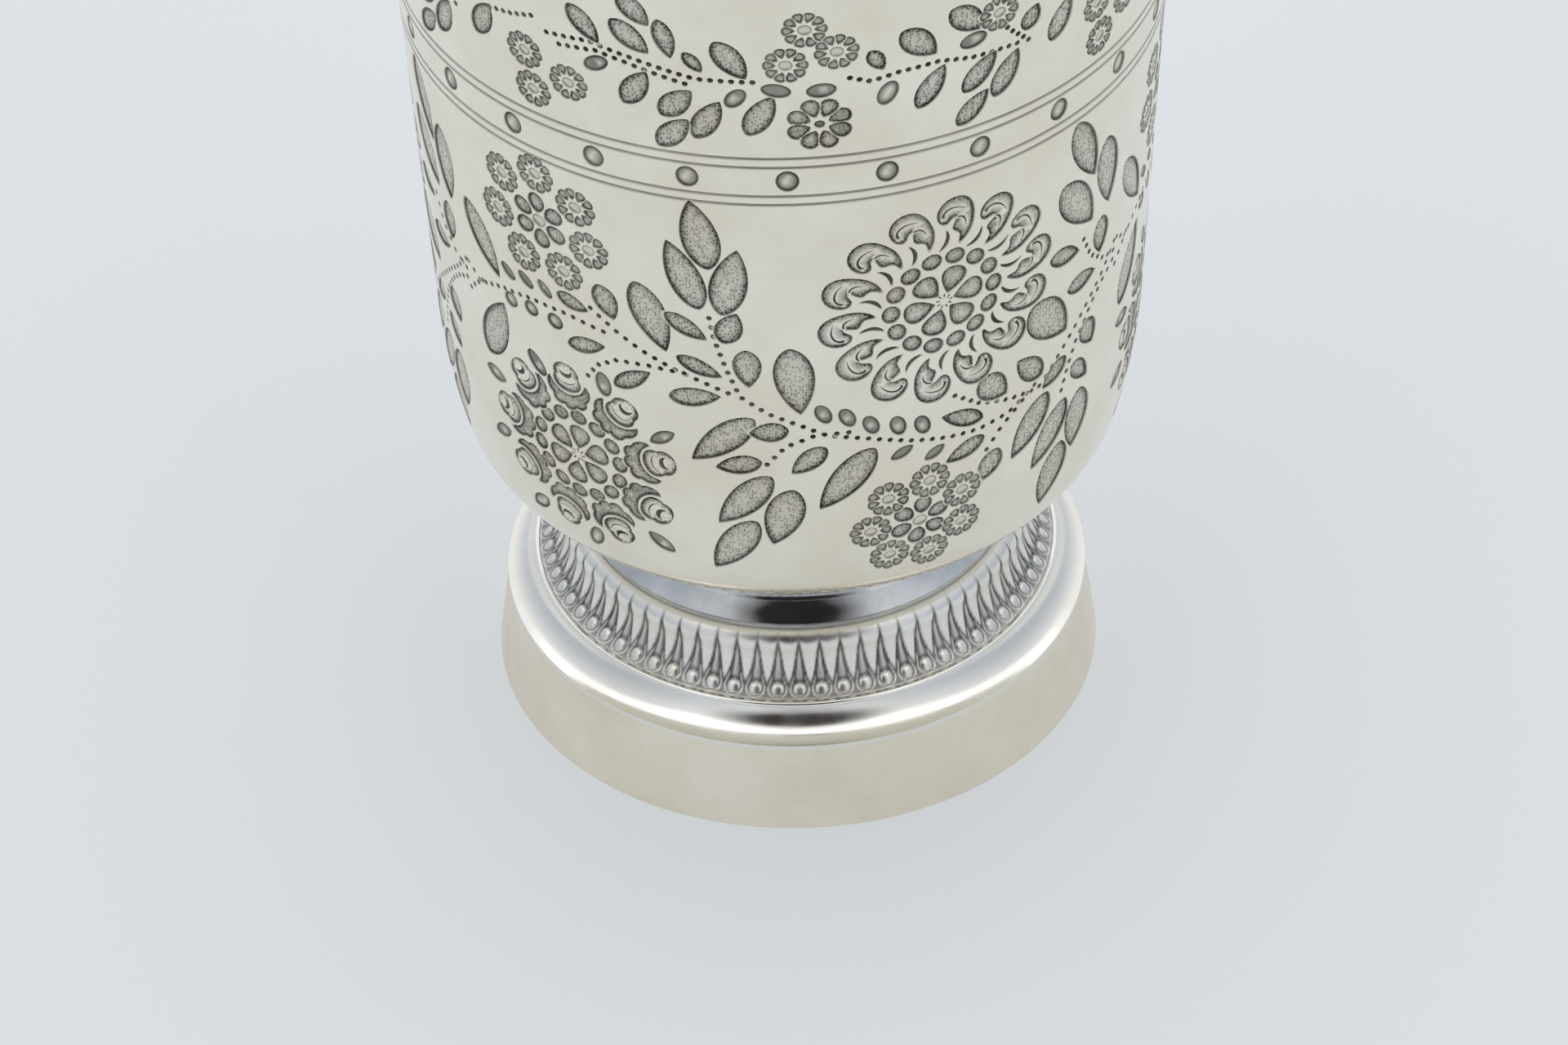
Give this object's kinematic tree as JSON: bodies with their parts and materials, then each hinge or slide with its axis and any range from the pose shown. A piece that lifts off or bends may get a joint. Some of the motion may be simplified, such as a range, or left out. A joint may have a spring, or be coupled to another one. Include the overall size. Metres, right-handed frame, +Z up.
{
  "type": "ciborium",
  "caption": "Footed silver cup with a tall chased bowl, a waisted collar, a low fluted foot and a lift-off domed lid with a ball and cross finial.",
  "frame": {"origin": "centre of the foot's bottom plane", "axes": "+Z up along the turned axis, front of the chased work towards -Y, +X to the right"},
  "size_m": [0.0926, 0.0926, 0.2015],
  "materials": {
    "silver_chased": "polished silver, punched work with oxidised recesses",
    "silver_mirror": "mirror-polished silver",
    "silver_satin": "satin silver, slightly warm",
    "silver_oxidised": "die-struck silver with dark oxidised recesses",
    "gilt_brass": "gilt"
  },
  "bodies": {
    "vessel": {"bowl": "silver_chased", "bowl_lip_wire": "silver_mirror", "bowl_boss": "silver_satin", "bowl_seat_ring": "silver_mirror", "bowl_milled_wire": "silver_oxidised", "stem_collar": "silver_mirror", "foot_fluted_dome": "silver_oxidised", "foot_fillet_wire": "silver_mirror", "foot_moulding": "silver_mirror", "foot_skirt": "silver_satin", "foot_base_wire": "silver_satin", "foot_bridge_plate": "silver_satin", "tie_stud": "gilt_brass", "tie_washer": "gilt_brass", "tie_nut": "gilt_brass"},
    "lid": {"lid_dome": "silver_chased", "lid_rim_moulding": "silver_mirror", "lid_bezel": "silver_satin", "lid_milled_wire": "silver_oxidised", "finial_spool": "silver_mirror", "finial_knop": "silver_mirror", "finial_cross": "silver_mirror", "finial_stud": "gilt_brass", "finial_washer": "gilt_brass", "finial_nut": "gilt_brass"}
  },
  "joints": [
    {"name": "lid_lift", "type": "slide", "parent": "vessel", "child": "lid", "axis": [0, 0, 1], "range_m": [0, 0.06]}
  ]
}
